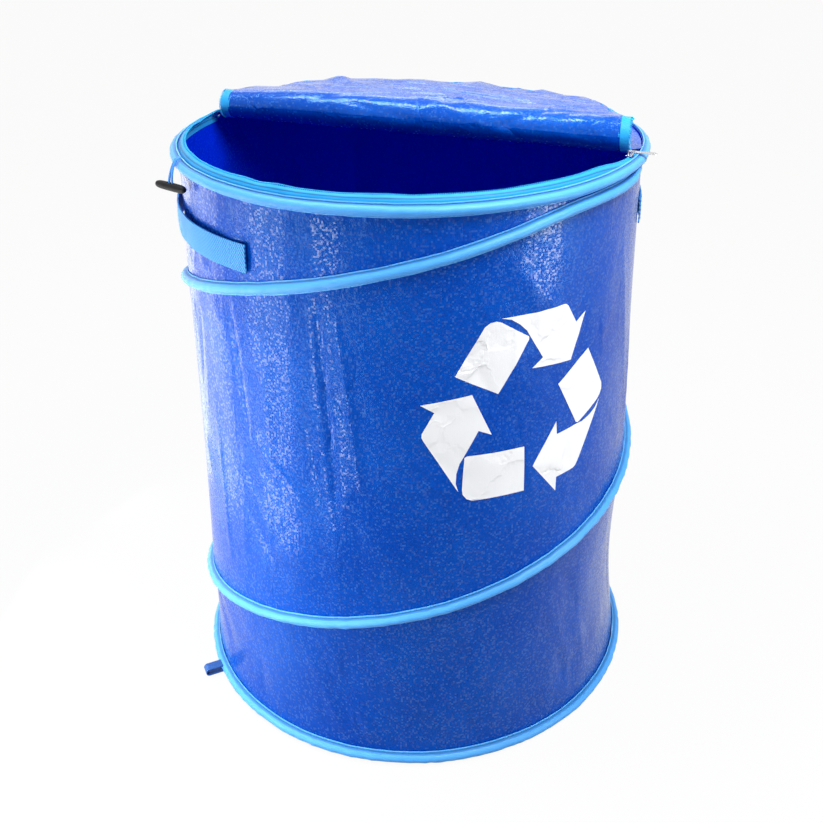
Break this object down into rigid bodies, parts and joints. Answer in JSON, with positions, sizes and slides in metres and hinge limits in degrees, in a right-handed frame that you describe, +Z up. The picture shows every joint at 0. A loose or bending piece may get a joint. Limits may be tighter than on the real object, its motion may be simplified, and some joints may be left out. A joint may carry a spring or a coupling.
{
  "type": "collapsible trash can",
  "caption": "Round pop-up bin: a fabric tube on a steel spiral that folds flat, with hoops at rim and base, a zipped lid folded half open, webbing handles, toggles and loops.",
  "frame": {"origin": "centre of the base's underside, on the floor", "axes": "+Z up, the open front of the lid towards -Y"},
  "size_m": [0.4847, 0.482, 0.6265],
  "materials": {
    "tarpaulin": "glossy crinkled woven polyethylene",
    "binding": "satin woven binding tape",
    "zip": "woven zip tape with a nylon coil",
    "webbing": "matt woven webbing",
    "ribbon": "matt ribbon",
    "elastic": "round braided elastic",
    "black_plastic": "moulded, satin",
    "slider_metal": "nickel-plated",
    "spring_steel": "plain spring wire"
  },
  "bodies": {
    "root": {"base_panel": "tarpaulin", "wall_panel": "tarpaulin", "base_binding": "binding", "base_wire": "spring_steel", "base_ferrule": "spring_steel", "spiral_binding": "binding", "spiral_wire": "spring_steel", "base_loop_left": "ribbon", "base_loop_right": "ribbon"},
    "rim": {"rim_binding": "binding", "rim_wire": "spring_steel", "rim_ferrule": "spring_steel", "rim_zip_tape": "zip", "rim_zip_coil": "zip", "zip_stop_left": "slider_metal", "zip_stop_right": "slider_metal", "lid_rear_panel": "tarpaulin"},
    "lid_fold": {"lid_roll": "tarpaulin", "roll_tape_left": "zip", "roll_tape_right": "zip"},
    "lid_front": {"lid_flap": "tarpaulin", "flap_zip_tape": "zip", "flap_zip_coil": "zip"},
    "slider": {"zip_slider": "slider_metal"},
    "pull": {"zip_pull": "slider_metal"},
    "toggle_left": {"toggle_loop_left": "elastic", "toggle_bar_left": "black_plastic"},
    "toggle_right": {"toggle_loop_right": "elastic", "toggle_bar_right": "black_plastic"},
    "handle_left_base": {"handle_left_end_front": "webbing", "handle_left_end_rear": "webbing"},
    "handle_left_strap": {"handle_left": "webbing"},
    "handle_right_base": {"handle_right_end_front": "webbing", "handle_right_end_rear": "webbing"},
    "handle_right_strap": {"handle_right": "webbing"}
  },
  "joints": [
    {"name": "collapse", "type": "slide", "parent": "root", "child": "rim", "axis": [0, 0, -1], "range_m": [0, 0.52], "stiffness_N_per_m": 40, "springref_m": -0.25, "deforming": ["wall_panel", "spiral_binding", "spiral_wire"]},
    {"name": "lid_fold_turn", "type": "hinge", "parent": "rim", "child": "lid_fold", "pos_m": [-0.00212, -0.00539, 0.5959], "axis": [0.9304, -0.3665, 0], "range_deg": [0, 92.95]},
    {"name": "lid_front_turn", "type": "hinge", "parent": "lid_fold", "child": "lid_front", "pos_m": [-0.0016, -0.00407, 0.62345], "axis": [0.9304, -0.3665, 0], "range_deg": [0, 92.95]},
    {"name": "zipper_travel", "type": "hinge", "parent": "rim", "child": "slider", "pos_m": [0, 0, 0.592], "axis": [0, 0, -1], "range_deg": [0, 177]},
    {"name": "zipper_pull", "type": "hinge", "parent": "slider", "child": "pull", "pos_m": [0.20716, -0.09008, 0.597], "axis": [-0.3987, -0.9171, 0], "range_deg": [0, 100]},
    {"name": "toggle_left_swing", "type": "hinge", "parent": "rim", "child": "toggle_left", "pos_m": [-0.22144, -0.09859, 0.5935], "axis": [-0.4067, 0.9135, 0], "range_deg": [0, 120]},
    {"name": "toggle_right_swing", "type": "hinge", "parent": "rim", "child": "toggle_right", "pos_m": [0.20993, 0.1212, 0.5935], "axis": [0.5, -0.866, 0], "range_deg": [0, 120]},
    {"name": "handle_left_lower", "type": "slide", "parent": "root", "child": "handle_left_base", "axis": [0, 0, -1], "range_m": [0, 0.4977]},
    {"name": "handle_left_draw", "type": "slide", "parent": "handle_left_base", "child": "handle_left_strap", "axis": [-0.9511, -0.309, 0], "range_m": [0, 0.015]},
    {"name": "handle_right_lower", "type": "slide", "parent": "root", "child": "handle_right_base", "axis": [0, 0, -1], "range_m": [0, 0.4977]},
    {"name": "handle_right_draw", "type": "slide", "parent": "handle_right_base", "child": "handle_right_strap", "axis": [0.9511, 0.309, 0], "range_m": [0, 0.015]}
  ],
  "couplings": [
    {"joint": "lid_front_turn", "follows": "lid_fold_turn", "ratio": 1},
    {"joint": "handle_left_lower", "follows": "collapse", "ratio": 0.957},
    {"joint": "handle_right_lower", "follows": "collapse", "ratio": 0.957}
  ]
}
